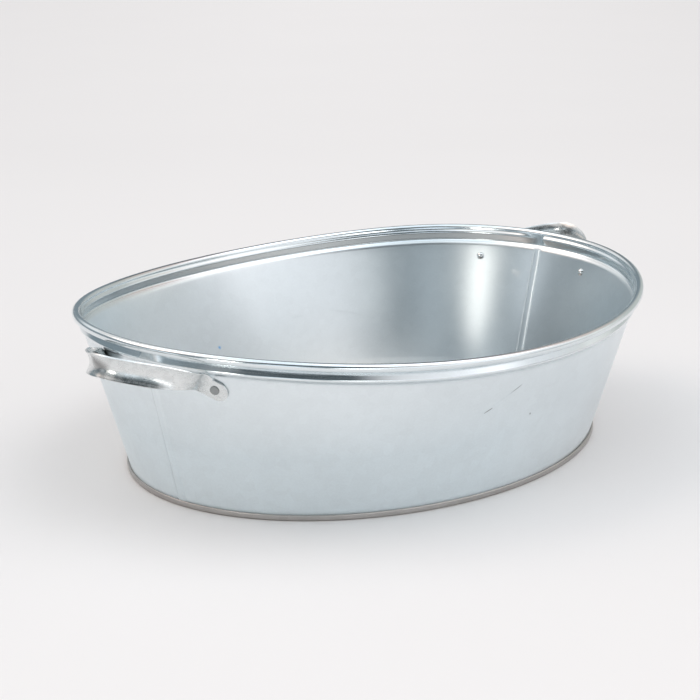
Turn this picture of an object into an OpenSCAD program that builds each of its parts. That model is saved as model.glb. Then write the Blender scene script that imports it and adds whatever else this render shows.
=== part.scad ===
// Galvanized oval tub with two strap handles, in millimetres.
// Origin at the middle of the floor contact, +X along the length through both
// handles, +Z up. The rim is higher at the two ends than along the sides.

/* [Tub] */
// Length over the rim roll, without the handles
tub_length = 500; // [460:5:560]
// Width over the rim roll
tub_width = 406; // [370:2:450]
// Height of the rim roll at the two ends
end_height = 130; // [118:1:170]
// Height of the rim roll at the middle of the long sides
side_height = 118; // [108:1:150]
// How far the rim rises above the mean of both heights at the corners
corner_lift = 2; // [0:0.5:5]
// How much fuller than an ellipse the rim is at the corners
rim_fullness = 2; // [0:0.5:4]

/* [Base] */
// Length over the folded base seam
base_length = 428; // [390:2:440]
// Width over the folded base seam
base_width = 336; // [310:2:350]
// Height of the folded base seam
chime_height = 4.4; // [4:0.2:7]
// Height of the upper face of the base plate above the floor
base_lift = 3.6; // [2.4:0.2:4]

/* [Sheet and rim] */
// Thickness of the tub's sheet
sheet_t = 0.5; // [0.4:0.05:0.6]
// Clearance left between two layers of a fold
fold_gap = 0.1; // [0.05:0.01:0.15]
// Outer diameter of the rolled rim
roll_d = 6.4; // [5.6:0.2:8]
// Clearance between the rim wire and the roll around it
wire_gap = 0.1; // [0.05:0.05:0.3]
// Depth of the crease under the collar, below the top of the rim
collar_depth = 16.2; // [14:0.2:20]
// Offset of the crease inward from the middle of the roll
collar_inset = 4.9; // [4:0.1:6]
// How far the bead above the crease stands out
bead_out = 2.4; // [0:0.2:2.8]
// Depth of the groove pressed into the collar between the bead and the roll
groove_depth = 1.6; // [0:0.1:2]

/* [Lock seams] */
// Width of the folded seam at each end
seam_width = 5; // [4.4:0.1:8]

/* [Handles] */
// Distance between the two rivets of one handle
rivet_spread = 108; // [90:1:130]
// Height of the rivets below the rim above them
rivet_drop = 27; // [26:1:50]
// Thickness of the handle strap
strap_t = 1.2; // [1:0.1:2]
// Width of the strap along the grip
grip_width = 17; // [14:0.5:20]
// Width of the flat ears
ear_width = 14.6; // [12:0.2:15]
// Downward slope of the ears, degrees
ear_slope = 25; // [15:1:30]
// How far the grip stands out from the wall
grip_reach = 48; // [40:1:70]
// Rise of the grip's middle above the rivets
grip_rise = 20; // [10:1:24]
// Depth of the hollow along the outside of the grip
grip_hollow = 2.8; // [0:0.2:3.6]

/* [Rivets] */
// Diameter of the rivet shanks
rivet_d = 3.6; // [3:0.1:4.4]
// Diameter of the flat outer heads
outer_head_d = 6.8; // [6:0.1:8]
// Thickness of the flat outer heads
outer_head_h = 0.7; // [0.5:0.1:1.2]
// Diameter of the domed inner heads
dome_d = 6.6; // [6:0.1:8]
// Height of the domed inner heads
dome_h = 2.2; // [1.4:0.1:2.8]

/* [Hidden] */
// Angle between two columns of a wall sheet
step = 6;
// Angle between a seam and the round end of the groove beside it
groove_end = 1.5;
// Angle between two facets of the roll and of the wire in it
roll_step = 36;
// Facets of the rivets
rivet_fn = 24;
// Seating clearance of the ears and outer heads
seat_gap = 0.25;
// Seating clearance of the domed heads on the hollow side of the wall
dome_gap = 0.3;
// Radial clearance of the rivets in their holes, and that under their flat heads
hole_gap = 0.1;
head_gap = 0.05;
// Chamfer of the flat outer heads
head_chamfer = 0.3;
// Reach of an ear past its rivet
ear_end = 9.4;
// Start of the fold between ear and leg, measured like ear_end
ear_fold = -3.6;
// Mean cosine of the wall's turn along an ear
wall_turn = 0.94;
// Length of the leg after the fold, its rise along the wall, and its slope
leg_length = 7;
leg_lift = 3;
leg_slope = 0.22;
// Shares of the reach and of the rivet spread that shape the bow of the grip
leg_reach = 0.22;
grip_flat = 0.37;
// Sag of the bow's control point below the middle of the grip
grip_sag = 1.2;
// Crest of the bead and length of its lower flank, as shares of the way down the collar
bead_mid = 0.74;
bead_low = 0.34;
// Angle at which the curl of the roll ends, from the outside over the top
roll_end = -145;

pitch = sheet_t + fold_gap;
half_t = sheet_t / 2;
roll_r = roll_d / 2;
roll_mid = roll_r - half_t;
rim_a = tub_length / 2 - roll_r;
rim_b = tub_width / 2 - roll_r;
base_a = base_length / 2;
base_b = base_width / 2;
height_wave = (end_height - side_height) / 2;
height_mean = (end_height + side_height + corner_lift) / 2;
fold_z = pitch + half_t;
body_layer = -3 * pitch - half_t;
hook_layer = -pitch - half_t;
seam_half = seam_width / 2;
seam_edge = seam_half + sheet_t;
butt_gap = fold_gap / 2;
rivet_y = rivet_spread / 2;
rivet_height = rim_top(column_at(rivet_y, end_height - rivet_drop)) - rivet_drop;
ear_r = ear_width / 2;
hole_depth = 4 * (strap_t + seat_gap + sheet_t);

// Node to draw, or all of them

// Support value of an oval with half axes a and b at normal angle p.
function support(p, a, b, full) =
    sqrt(pow(a * cos(p), 2) + pow(b * sin(p), 2)) + full * pow(sin(2 * p), 2);

// Change of the support value with the angle.
function support_rate(p, a, b, full) =
    (b * b - a * a) * sin(p) * cos(p) / sqrt(pow(a * cos(p), 2) + pow(b * sin(p), 2))
    + 2 * full * sin(4 * p);

function rim_top(p) =
    height_mean + height_wave * cos(2 * p) - corner_lift / 2 * cos(4 * p);

// Distance between the base outline and the roll's middle, and its rate.
function spread(p) = support(p, rim_a, rim_b, rim_fullness) - support(p, base_a, base_b, 0);
function spread_rate(p) =
    support_rate(p, rim_a, rim_b, rim_fullness) - support_rate(p, base_a, base_b, 0);

// Point at outward distance s, height z and share u of the flare, column p.
function place(p, s, z, u, shift = 0) =
    let (out = support(p, base_a, base_b, 0) + s,
         along = support_rate(p, base_a, base_b, 0) + u * spread_rate(p) + shift)
    [out * cos(p) - along * sin(p), out * sin(p) + along * cos(p), z];

function unit(v) = v / norm(v);
function lerp(a, b, u) = a + (b - a) * u;
function left_of(v) = [-v[1], v[0]];

// Mitred offset of point i of an open path by distance d to its left.
function offset_point(path, i, d) =
    let (last = len(path) - 1,
         into = i == 0 ? [0, 0] : unit([path[i][0] - path[i-1][0], path[i][1] - path[i-1][1]]),
         away = i == last ? into : unit([path[i+1][0] - path[i][0], path[i+1][1] - path[i][1]]),
         first = i == 0 ? away : into,
         mean = unit(left_of(first) + left_of(away)))
    [path[i][0], path[i][1]] + mean * d / (mean * left_of(away));

// Closed outline of a sheet whose middle follows an open path.
function sheet_loop(path, t) = concat(
    [for (i = [0 : len(path) - 1]) offset_point(path, i, -t / 2)],
    [for (i = [len(path) - 1 : -1 : 0]) offset_point(path, i, t / 2)]);

// Middle line of the wall sheet in column p, as [out, height, share of flare].
function crease_z(p) = rim_top(p) - collar_depth;
function crease_s(p) = spread(p) - collar_inset - half_t;
function foot_path() = [
    [hook_layer, chime_height - pitch, 0],
    [hook_layer, fold_z, 0],
    [body_layer, fold_z, 0],
    [body_layer, chime_height, 0]];
// Distance of the collar from the straight line between roll and crease, at share f
// of the way down: a bead, and above it the groove where full is 1.
function bead(f) =
    f < bead_mid ? bead_out * f / bead_mid
    : f < bead_mid + bead_low ? bead_out * (1 + cos(180 * (f - bead_mid) / bead_low)) / 2 : 0;
function groove(f) =
    f < bead_mid ? groove_depth * (1 - cos(360 * f / bead_mid)) / 2 : 0;
function rim_path(p, full) = concat(
    [[crease_s(p), crease_z(p), 1]],
    [for (f = [0.92, 0.84, 0.74, 0.64, 0.54, 0.42, 0.28, 0.14])
        [spread(p) + lerp(-roll_mid, -collar_inset - half_t, f) + bead(f) - full * groove(f),
         rim_top(p) - lerp(roll_r, collar_depth, f), 1]],
    [for (a = [180 : -roll_step : roll_end])
        [spread(p) + roll_mid * cos(a), rim_top(p) - roll_r + roll_mid * sin(a), 1]]);

// Ring of a sheet in column p: the closed outline put in its place.
function ring(p, path, shift) =
    let (loop = sheet_loop(path, sheet_t), n = len(path))
    [for (i = [0 : len(loop) - 1])
        place(p, loop[i][0], loop[i][1], path[i < n ? i : 2 * n - 1 - i][2], shift)];

// Solid through rings with equal numbers of points. The second half of each
// ring runs back beside the first half, so quads close the two ends.
module skin(rings, closed = false) {
    m = len(rings[0]);
    n = len(rings);
    sides = [for (i = [0 : n - (closed ? 1 : 2)]) for (j = [0 : m - 1])
        let (k = (i + 1) % n, q = (j + 1) % m)
        each [[i * m + j, i * m + q, k * m + q], [i * m + j, k * m + q, k * m + j]]];
    far = (n - 1) * m;
    caps = closed ? [] : [for (j = [0 : m / 2 - 2])
        let (k = m - 1 - j)
        each [[j, k, k - 1, j + 1], [far + j, far + j + 1, far + k - 1, far + k]]];
    polyhedron([for (r = rings) each r], concat(sides, caps), convexity = 12);
}

// Share of the flare and outward distance of the wall's middle at height z.
function wall_u(p, z) = (z - chime_height) / (crease_z(p) - chime_height);
function wall_lean(p) =
    atan2(crease_s(p) - body_layer, crease_z(p) - chime_height);
// Point of the wall at height z, moved out by d from the sheet's outer face.
function wall_point(p, z, d) =
    let (lean = wall_lean(p), u = wall_u(p, z), h = half_t + d)
    place(p, lerp(body_layer, crease_s(p), u) + h * cos(lean), z - h * sin(lean), u);
function wall_normal(p) =
    let (lean = wall_lean(p))
    [cos(lean) * cos(p), cos(lean) * sin(p), -sin(lean)];
function wall_up(p) =
    let (lean = wall_lean(p))
    [sin(lean) * cos(p), sin(lean) * sin(p), cos(lean)];

// Column angle, near the end at +X, whose wall point has the wanted y.
function column_at(y, z, lo = -60, hi = 60, n = 24) =
    n == 0 ? (lo + hi) / 2
    : let (mid = (lo + hi) / 2)
      wall_point(mid, z, 0)[1] < y ? column_at(y, z, mid, hi, n - 1)
                                   : column_at(y, z, lo, mid, n - 1);

// Frame with its Z axis along a direction, X axis level.
module aim(origin, dir) {
    x = unit(cross([0, 0, 1], dir));
    y = cross(dir, x);
    multmatrix([
        [x[0], y[0], dir[0], origin[0]],
        [x[1], y[1], dir[1], origin[1]],
        [x[2], y[2], dir[2], origin[2]],
        [0, 0, 0, 1]]) children();
}

// Rivet holes at one end, side -1 or 1, through sheet and ear.
module rivet_hole(side) {
    p = column_at(side * rivet_y, rivet_height);
    aim(wall_point(p, rivet_height, 0), wall_normal(p))
        cylinder(h = hole_depth, r = rivet_d / 2 + hole_gap, center = true, $fn = rivet_fn);
}

// Fold of a lock seam at the +X end, drawn in plan and leaned with the wall.
module seam_fold(path) {
    out_low = base_a + body_layer + half_t / cos(wall_lean(0));
    rise = crease_z(0) - chime_height - half_t;
    multmatrix([
        [1, 0, tan(wall_lean(0)), out_low],
        [0, 1, 0, 0],
        [0, 0, 1, chime_height],
        [0, 0, 0, 1]])
        linear_extrude(height = rise)
            polygon([for (q = sheet_loop(path, sheet_t)) [q[1], q[0]]]);
}

// The sheet that stays inside: it turns outward and back over the other's hook.
fold_y = seam_half - half_t;
layer = [for (i = [0 : 3]) -half_t + i * pitch];
under_path = [
    [-seam_edge, layer[0]],
    [fold_y - pitch, layer[0]],
    [fold_y - pitch, layer[2]],
    [-fold_y + pitch - half_t, layer[2]]];
// The sheet that covers: it steps out, runs across and hooks back inward.
over_path = [
    [seam_edge, layer[0]],
    [fold_y, layer[0]],
    [fold_y, layer[3]],
    [-fold_y, layer[3]],
    [-fold_y, layer[1]],
    [fold_y - pitch - half_t - fold_gap, layer[1]]];

// Ends of the rim and of the foot that run on to the middle of a seam.
module tails(p, side) {
    for (path = [rim_path(p, 0), foot_path()]) {
        near = ring(p, path, side * seam_edge);
        far = ring(p, path, side * butt_gap);
        skin(side > 0 ? [far, near] : [near, far]);
    }
}

// Columns of the half wall on the -Y side: angle, share of the groove, shift.
half_columns = concat(
    [[180, 0, seam_edge]],
    [for (p = [180 + step : step : 360 - step]) [p, 1, 0]],
    [[360 - groove_end, 1, 0]],
    [[360, 0, -seam_edge]]);
// The same all round, for the base and the wire.
all_columns = [for (turn = [0, 180]) for (c = half_columns) [c[0] + turn, c[1], c[2]]];

// Half the wall, on the -Y side, with its seam folds, rim and foot.
module half_wall() {
    skin([for (c = half_columns)
        ring(c[0], concat(foot_path(), rim_path(c[0], c[1])), c[2])]);
    tails(180, 1);
    tails(360, -1);
    seam_fold(under_path);
    rotate([0, 0, 180]) seam_fold(over_path);
}

module drilled_half_wall() {
    difference() {
        half_wall();
        rivet_hole(-1);
        rotate([0, 0, 180]) rivet_hole(1);
    }
}

module body_front() color([0.76, 0.80, 0.82]) drilled_half_wall();

module body_back() color([0.74, 0.78, 0.80]) rotate([0, 0, 180]) drilled_half_wall();

// Plan outline of the base at distance s from the outside of the seam.
function base_outline(s) = [for (c = all_columns)
    let (q = place(c[0], s, 0, 0, c[2])) [q[0], q[1]]];

// Flat or upright band of the base between two outlines.
module band(outer, inner, low, high) {
    translate([0, 0, low])
        linear_extrude(height = high - low)
            difference() {
                polygon(base_outline(outer));
                polygon(base_outline(inner));
            }
}

module base_plate() color([0.70, 0.73, 0.75]) {
    hook = -2 * pitch;
    inner = -4 * pitch;
    band(0, inner - sheet_t, 0, sheet_t);
    band(0, -sheet_t, 0, chime_height);
    band(0, hook - sheet_t, chime_height - sheet_t, chime_height);
    band(hook, hook - sheet_t, 2 * pitch, chime_height);
    band(inner, inner - sheet_t, 0, base_lift);
    translate([0, 0, base_lift - sheet_t])
        linear_extrude(height = sheet_t)
            polygon(base_outline(inner));
}

module rim_wire() color([0.55, 0.57, 0.58]) {
    r = roll_r - sheet_t - wire_gap;
    skin([for (c = all_columns)
        let (p = c[0])
        [for (a = [0 : roll_step : 359])
            place(p, spread(p) + r * cos(a), rim_top(p) - roll_r + r * sin(a), 1, c[2])]],
        closed = true);
}

function bezier(c, u) =
    pow(1 - u, 3) * c[0] + 3 * u * pow(1 - u, 2) * c[1]
    + 3 * u * u * (1 - u) * c[2] + pow(u, 3) * c[3];

// Handle at the +X end. Points of an ear are measured along it from the rivet,
// towards its round tip; the fold lies on the other side.
function ear_point(e) =
    let (z = rivet_height - e * sin(ear_slope))
    wall_point(column_at(rivet_y + e * cos(ear_slope) * wall_turn, z), z, seat_gap + strap_t / 2);
// Direction across the ear in the plane of the wall: up and away from the middle.
function ear_across(e) =
    let (p = column_at(rivet_y + e * cos(ear_slope), rivet_height))
    sin(ear_slope) * [-sin(p), cos(p), 0] + cos(ear_slope) * wall_up(p);

grip_mid = [wall_point(0, rivet_height, 0)[0] + grip_reach, 0, rivet_height + grip_rise];
// The legs leave the wall outward and a little up.
leg_dir = unit([1, 0, leg_slope]);
leg_foot = ear_point(2 * ear_fold) + leg_length * leg_dir + leg_lift * wall_up(0);
fold_curve = [
    ear_point(ear_fold),
    ear_point(2 * ear_fold),
    leg_foot - leg_length / 2 * leg_dir,
    leg_foot];
grip_curve = [
    leg_foot,
    leg_foot + grip_reach * leg_reach * leg_dir,
    grip_mid + [0, rivet_y * grip_flat, -grip_sag],
    grip_mid];

// Stations of one half: middle, half width, depth of the hollow, direction across.
half_stations = concat(
    [for (a = [80 : -20 : 0])
        let (e = ear_end + ear_r * (sin(a) - 1))
        [ear_point(e), ear_r * cos(a), 0, ear_across(e)]],
    [[ear_point(ear_fold / 2), ear_r, 0, ear_across(ear_fold / 2)]],
    [for (u = [0 : 0.25 : 0.75])
        [bezier(fold_curve, u), ear_r, 0, ear_across(2 * ear_fold)]],
    [for (u = [0 : 0.1 : 0.9])
        let (w = min(1, 2 * u), ease = w * w * (3 - 2 * w))
        [bezier(grip_curve, u), lerp(ear_r, grip_width / 2, ease), grip_hollow * ease,
         lerp(ear_across(2 * ear_fold), [0, 0, 1], ease)]]);
function flip(v) = [v[0], -v[1], v[2]];
stations = concat(
    half_stations,
    [[grip_mid, grip_width / 2, grip_hollow, [0, 0, 1]]],
    [for (i = [len(half_stations) - 1 : -1 : 0])
        let (s = half_stations[i]) [flip(s[0]), s[1], s[2], flip(s[3])]]);

function station_ring(i) =
    let (s = stations[i],
         last = len(stations) - 1,
         ahead = unit(stations[min(last, i + 1)][0] - stations[max(0, i - 1)][0]),
         wide = unit(s[3] - (s[3] * ahead) * ahead),
         out = cross(wide, ahead))
    [for (face = [-1, 1]) for (v = [-1 : 0.5 : 1])
        s[0] - face * v * s[1] * wide + (s[2] * (v * v - 0.5) + face * strap_t / 2) * out];

module handle() {
    difference() {
        skin([for (i = [0 : len(stations) - 1]) station_ring(i)]);
        rivet_hole(-1);
        rivet_hole(1);
    }
}

module handle_right() color([0.80, 0.83, 0.85]) handle();

module handle_left() color([0.80, 0.83, 0.85]) rotate([0, 0, 180]) handle();

// Rivet at the +X end: flat head on the ear, dome inside the wall.
module rivet(side) {
    p = column_at(side * rivet_y, rivet_height);
    ear_face = seat_gap + strap_t + head_gap;
    wall_face = -sheet_t;
    dome_low = wall_face - dome_gap;
    // Radius of the sphere whose cap is the dome.
    dome_r = (pow(dome_d / 2, 2) + dome_h * dome_h) / (2 * dome_h);
    reach = asin(dome_d / 2 / dome_r);
    aim(wall_point(p, rivet_height, 0), wall_normal(p))
        rotate_extrude($fn = rivet_fn)
            polygon(concat(
                [[0, ear_face + outer_head_h],
                 [outer_head_d / 2 - head_chamfer, ear_face + outer_head_h],
                 [outer_head_d / 2, ear_face + outer_head_h - head_chamfer],
                 [outer_head_d / 2, ear_face],
                 [rivet_d / 2, ear_face],
                 [rivet_d / 2, dome_low]],
                [for (a = [reach : -reach / 4 : 0.01])
                    [dome_r * sin(a), dome_low - dome_h + dome_r * (1 - cos(a))]],
                [[0, dome_low - dome_h]]));
}

module rivet_right_front() color([0.62, 0.64, 0.66]) rivet(-1);

module rivet_right_back() color([0.62, 0.64, 0.66]) rivet(1);

module rivet_left_front() color([0.62, 0.64, 0.66]) rotate([0, 0, 180]) rivet(1);

module rivet_left_back() color([0.62, 0.64, 0.66]) rotate([0, 0, 180]) rivet(-1);

body_front();
body_back();
base_plate();
rim_wire();
handle_left();
handle_right();
rivet_left_front();
rivet_left_back();
rivet_right_front();
rivet_right_back();
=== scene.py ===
import functools
from math import asin, atan, atan2, cos, hypot, pi, radians, sin, tau
import bmesh
import bpy
from mathutils import Matrix, Vector


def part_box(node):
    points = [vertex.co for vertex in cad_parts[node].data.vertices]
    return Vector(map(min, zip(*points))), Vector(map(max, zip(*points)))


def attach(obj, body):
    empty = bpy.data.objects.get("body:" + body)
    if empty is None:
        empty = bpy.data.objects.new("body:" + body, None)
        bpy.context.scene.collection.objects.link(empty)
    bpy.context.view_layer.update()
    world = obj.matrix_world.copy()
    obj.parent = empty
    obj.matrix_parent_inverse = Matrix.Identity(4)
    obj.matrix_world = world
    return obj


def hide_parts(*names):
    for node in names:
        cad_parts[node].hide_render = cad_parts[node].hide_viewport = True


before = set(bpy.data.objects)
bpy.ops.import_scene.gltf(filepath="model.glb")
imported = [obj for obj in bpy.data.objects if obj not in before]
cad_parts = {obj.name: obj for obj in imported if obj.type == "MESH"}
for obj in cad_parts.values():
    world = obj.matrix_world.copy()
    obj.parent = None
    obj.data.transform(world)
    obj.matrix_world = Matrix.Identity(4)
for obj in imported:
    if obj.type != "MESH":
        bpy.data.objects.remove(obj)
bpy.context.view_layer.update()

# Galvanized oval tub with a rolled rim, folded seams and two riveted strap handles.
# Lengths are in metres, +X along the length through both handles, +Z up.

bl_info = {
    "name": "Galvanized Oval Tub",
    "version": (1, 0, 0),
    "blender": (4, 5, 0),
    "location": "View3D > Sidebar > Tub",
    "description": "Builds a galvanized oval tub with its seams, handles, rivets and a studio",
    "category": "Object",
}

MM = 0.001
WALL_LOW, WALL_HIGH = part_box("body_front")
BASE_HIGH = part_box("base_plate")[1]


# Properties

def length(label, about, default):
    return bpy.props.FloatProperty(
        name=label, description=about, default=default, min=0.0, precision=5,
        subtype="DISTANCE", unit="LENGTH")


def angle(label, about, degrees):
    return bpy.props.FloatProperty(
        name=label, description=about, default=radians(degrees),
        subtype="ANGLE", unit="ROTATION")


def factor(label, about, default):
    return bpy.props.FloatProperty(
        name=label, description=about, default=default, min=0.0, max=1.0, subtype="FACTOR")


def linear(code):
    """Turns an sRGB hex colour such as c8d0d4 into linear values."""
    values = [int(code[i:i + 2], 16) / 255 for i in (0, 2, 4)]
    return [v / 12.92 if v <= 0.04045 else ((v + 0.055) / 1.055) ** 2.4 for v in values]


def colour(label, about, code):
    return bpy.props.FloatVectorProperty(
        name=label, description=about, default=linear(code), size=3, min=0.0, max=1.0,
        subtype="COLOR")


class TubSizes(bpy.types.PropertyGroup):
    rim_length: length("Rim length", "Length over the rim roll", 2 * WALL_HIGH.x)
    rim_width: length("Rim width", "Width over the rim roll", -2 * WALL_LOW.y)
    base_length: length("Base length", "Length over the base seam", 2 * BASE_HIGH.x)
    base_width: length("Base width", "Width over the base seam", 2 * BASE_HIGH.y)
    end_height: length("End height", "Top of the rim at both ends", 130 * MM)
    side_height: length("Side height", "Top of the rim halfway along the sides", 118 * MM)
    corner_lift: length("Corner lift", "Rise of the rim at the corners", 2 * MM)
    fullness: length("Fullness", "How much fuller than an ellipse the rim is", 2 * MM)
    sheet: length("Sheet", "Thickness of the sheet", 0.5 * MM)
    layer: length("Layer", "Distance between two layers of a fold", 0.6 * MM)


class RimSizes(bpy.types.PropertyGroup):
    roll: length("Roll", "Outer diameter of the rolled rim", 6.4 * MM)
    collar_depth: length("Collar depth", "Depth of the crease below the top", 16.2 * MM)
    collar_inset: length("Collar inset", "Crease, inward from the middle of the roll", 4.9 * MM)
    bead: length("Bead", "How far the bead above the crease stands out", 2.4 * MM)
    groove: length("Groove", "Depth of the groove between bead and roll", 2 * MM)
    groove_deep: factor("Groove place", "Deepest line of the groove, as a share", 0.3)
    bead_mid: factor("Bead place", "Crest of the bead, as a share of the collar", 0.74)
    bead_low: factor("Bead flank", "Lower flank of the bead, as a share", 0.34)
    fade: angle("Groove fade", "Angle over which the groove starts", 7)
    stop: angle("Groove stop", "Angle between the groove's round end and the seam", 1.0)
    curl: angle("Curl", "Angle at which the roll's curl ends", -145)
    groove_end: length("Groove end", "Length of the groove's round end", 4 * MM)


class FoldSizes(bpy.types.PropertyGroup):
    chime: length("Chime", "Height of the folded base seam", BASE_HIGH.z)
    base_lift: length("Base lift", "Upper face of the base above the floor", 3.6 * MM)
    bend: length("Bend", "Radius of the folded edges", 0.55 * MM)
    seam: length("Lock seam", "Width of the folded seam at each end", 4.6 * MM)
    seam_rise: length("Seam rise", "Width over which a sheet rises onto the seam", 1.9 * MM)
    butt: length("Butt", "Half the gap between the ends of the roll", 0.12 * MM)


class HandleSizes(bpy.types.PropertyGroup):
    spread: length("Rivet spread", "Distance between the rivets of a handle", 108 * MM)
    drop: length("Rivet drop", "Rivets below the rim above them", 27 * MM)
    thickness: length("Strap", "Thickness of the strap", 1.2 * MM)
    grip: length("Grip width", "Width of the strap along the grip", 17 * MM)
    ear: length("Ear width", "Width of the flat ears", 14.6 * MM)
    ear_end: length("Ear end", "Reach of an ear past its rivet", 9.4 * MM)
    slope: angle("Ear slope", "Downward slope of the ears", 25)
    fold: length("Fold", "Start of the fold, inward from the rivet", 3.6 * MM)
    leg: length("Leg", "Length of the straight leg after the fold", 7 * MM)
    lift: length("Lift", "Rise of the leg along the wall", 3 * MM)
    reach: length("Reach", "How far the grip stands out from the wall", 48 * MM)
    rise: length("Rise", "Rise of the grip's middle above the rivets", 20 * MM)
    sag: length("Sag", "Sag of the bow beside its middle", 1.2 * MM)
    hollow: length("Hollow", "Depth of the hollow along the grip", 2.8 * MM)
    seat: length("Seat", "Clearance between ear and wall", 0.25 * MM)


class RivetSizes(bpy.types.PropertyGroup):
    shank: length("Shank", "Diameter of the shanks", 3.6 * MM)
    head: length("Head", "Diameter of the flat outer heads", 6.8 * MM)
    head_height: length("Head height", "Thickness of the flat outer heads", 0.7 * MM)
    head_gap: length("Head gap", "Clearance under the flat heads", 0.05 * MM)
    dome: length("Dome", "Diameter of the domed inner heads", 6.6 * MM)
    dome_height: length("Dome height", "Height of the domed inner heads", 2.2 * MM)
    dome_gap: length("Dome gap", "Clearance of the domes on the wall", 0.3 * MM)


class ZincColours(bpy.types.PropertyGroup):
    sheet: colour("Sheet", "Zinc coat of the wall sheet", "e6edf0")
    # Darker and warmer than the wall: dull zinc, and partly painted shade for the shadowed floor
    # that the chime mirrors
    base: colour("Base", "Zinc coat of the base sheet", "b9b5b2")
    strap: colour("Strap", "Bright zinc of the handle straps", "e2e5e5")
    head: colour("Rivet heads", "Dull face of the flat rivet heads", "9c9f9f")
    dome: colour("Rivet domes", "Bright domed rivet heads", "e6e8e8")
    wire: colour("Wire", "Drawn steel wire in the rim", "9aa0a3")
    # Scuffs, and the dark line of grime and painted shade in the near seam's crevice
    scuff_and_crevice_shade: colour("Scuffs", "Dull grey of scuffs", "7d8488")
    # A darker brown-grey patch at the middle of each grip
    grip_patch: colour("Stains", "Brown-grey stains on the straps", "4a4644")
    # Blue specks; the one at the foot of the near seam is a painted blue glint
    marker: colour("Marker", "Blue specks left by a marker", "8ac4f2")


class StudioSizes(bpy.types.PropertyGroup):
    azimuth: angle("Azimuth", "Camera angle round the tub", -50.16)
    elevation: angle("Elevation", "Camera angle above the floor", 15.44)
    roll: angle("Roll", "Turn of the camera about its own axis", -0.18)
    distance: length("Distance", "Camera distance", 1.47)
    lens: bpy.props.FloatProperty(
        name="Lens", description="Focal length in millimetres", default=92.86, min=10.0)
    floor: colour("Floor", "Pale floor and background", "f0eeed")
    floor_radius: length("Floor radius", "Radius of the floor", 12.0)


# The rule of the oval

HALVINGS = 40


def support(p, a, b, full):
    """Distance of an oval's tangent with normal angle p from the centre, and its rate."""
    value = hypot(a * cos(p), b * sin(p))
    rate = (b * b - a * a) * sin(p) * cos(p) / value
    return value + full * sin(2 * p) ** 2, rate + 2 * full * sin(4 * p)


class Oval:
    """Places points on the tub: p is the normal angle, and share runs from the oval of the
    base to that of the rim, which holds from the crease up."""

    def __init__(self, scene):
        self.tub, self.rim, self.folds = scene.tub_sizes, scene.rim_sizes, scene.fold_sizes
        tub, rim = self.tub, self.rim
        self.base_half = (tub.base_length / 2, tub.base_width / 2)
        self.rim_half = (tub.rim_length / 2 - rim.roll / 2, tub.rim_width / 2 - rim.roll / 2)
        self.height = (tub.end_height + tub.side_height + tub.corner_lift) / 2
        self.wave = (tub.end_height - tub.side_height) / 2
        self.corner = tub.corner_lift / 2
        self.body_out = -3 * tub.layer - tub.sheet / 2
        self.crease_out = -rim.collar_inset - tub.sheet / 2

    def top(self, p):
        return self.height + self.wave * cos(2 * p) - self.corner * cos(4 * p)

    def place(self, p, out, up, share, shift=0.0):
        low, low_rate = support(p, *self.base_half, 0.0)
        high, high_rate = support(p, *self.rim_half, self.tub.fullness)
        reach = low + share * (high - low) + out
        along = low_rate + share * (high_rate - low_rate) + shift
        return Vector((reach * cos(p) - along * sin(p),
                       reach * sin(p) + along * cos(p), up))

    def spread(self, p):
        return (support(p, *self.rim_half, self.tub.fullness)[0]
                - support(p, *self.base_half, 0.0)[0])

    def crease(self, p):
        return self.top(p) - self.rim.collar_depth

    def lean(self, p):
        run = self.spread(p) + self.crease_out - self.body_out
        return atan2(run, self.crease(p) - self.folds.chime)

    def wall(self, p, up, off):
        """Point at height up, moved by off from the outer face of the wall."""
        share = (up - self.folds.chime) / (self.crease(p) - self.folds.chime)
        tilt, off = self.lean(p), off + self.tub.sheet / 2
        out = self.body_out + share * (self.crease_out - self.body_out)
        return self.place(p, out + off * cos(tilt), up - off * sin(tilt), share)

    def direction(self, p, out, up):
        """What is outward and upward along the leaning wall, as a direction of the tub."""
        flat = out * cos(self.lean(p)) + up * sin(self.lean(p))
        return Vector((flat * cos(p), flat * sin(p),
                       up * cos(self.lean(p)) - out * sin(self.lean(p))))

    def end_radius(self, share):
        """How round the outline is at the two ends."""
        base, rim = [half[1] ** 2 / half[0] for half in (self.base_half, self.rim_half)]
        return base + share * (rim + 8 * self.tub.fullness - base)

    def column(self, y, up):
        """Normal angle, near the end at +X, of the wall point with this y, by halving."""
        low, high = -pi / 3, pi / 3
        for _ in range(HALVINGS):
            middle = (low + high) / 2
            if self.wall(middle, up, 0).y < y:
                low = middle
            else:
                high = middle
        return (low + high) / 2


# Node and mesh helpers

# Angles in degrees above which an edge stays sharp or is rounded, and the distance below
# which two points of a mesh are one
SMOOTH_ANGLE, BEVEL_ANGLE, DOUBLES = 38, 50, 0.001 * MM

# How finely the pieces are divided
BEND_STEPS, WALL_STEPS, CREASE_STEPS, COLLAR_STEPS, CURL_STEPS = 5, 14, 7, 26, 26
DISC_STEPS, SEAM_STEPS, LEG_STEPS, BOW_STEPS, DOME_STEPS = 9, 24, 8, 20, 12
WALL_COLUMNS, BASE_COLUMNS, STRAP_COLUMNS, RIVET_COLUMNS = 280, 281, 15, 41


def socket_of(source):
    """The first output in use of a node; a socket or a value stays as it is."""
    if isinstance(source, bpy.types.Node):
        return next(socket for socket in source.outputs if socket.enabled)
    return source


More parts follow.
